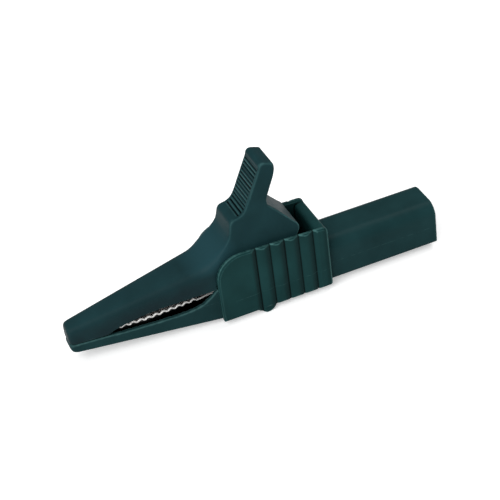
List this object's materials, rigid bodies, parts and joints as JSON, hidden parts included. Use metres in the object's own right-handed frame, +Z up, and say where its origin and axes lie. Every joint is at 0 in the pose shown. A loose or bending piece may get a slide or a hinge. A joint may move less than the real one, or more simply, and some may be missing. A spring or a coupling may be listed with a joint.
{
  "type": "insulated crocodile test clip",
  "caption": "Insulated spring clip with long tapered toothed jaws, a ridged thumb lever, a ribbed grip cover and a shrouded round socket at the rear for a test plug.",
  "frame": {"origin": "centre of the mouth of the plug bore, on the socket's axis", "axes": "+X along the socket's axis to the rear, the way a plug is drawn out; +Z up towards the thumb lever; +Y to the clip's side"},
  "size_m": [0.0946, 0.0154, 0.0396],
  "materials": {
    "body_plastic": "moulded dark teal green, satin",
    "cover_plastic": "moulded dark green, satin",
    "jaw_plastic": "moulded dark teal green, satin",
    "plated_sheet": "nickel plated sheet",
    "plated_rivet": "nickel plated",
    "hinge_steel": "ground",
    "spring_steel": "drawn wire",
    "contact_brass": "nickel plated brass"
  },
  "bodies": {
    "body": {"lower_body": "body_plastic", "grip_cover": "cover_plastic", "lower_contact": "plated_sheet", "pivot_pin": "hinge_steel", "pin_bush": "hinge_steel", "torsion_spring": "spring_steel", "contact_socket": "contact_brass", "contact_rivet": "plated_rivet"},
    "jaw": {"upper_jaw": "jaw_plastic", "upper_contact": "plated_sheet", "upper_contact_rivet": "plated_rivet"}
  },
  "joints": [
    {"name": "jaw_hinge", "type": "hinge", "parent": "body", "child": "jaw", "pos_m": [-0.0455, 0, 0.0035], "axis": [0, 1, 0], "range_deg": [0, 36], "stiffness_Nm_per_rad": 0.32, "springref_deg": -34.38, "deforming": ["torsion_spring"]}
  ]
}
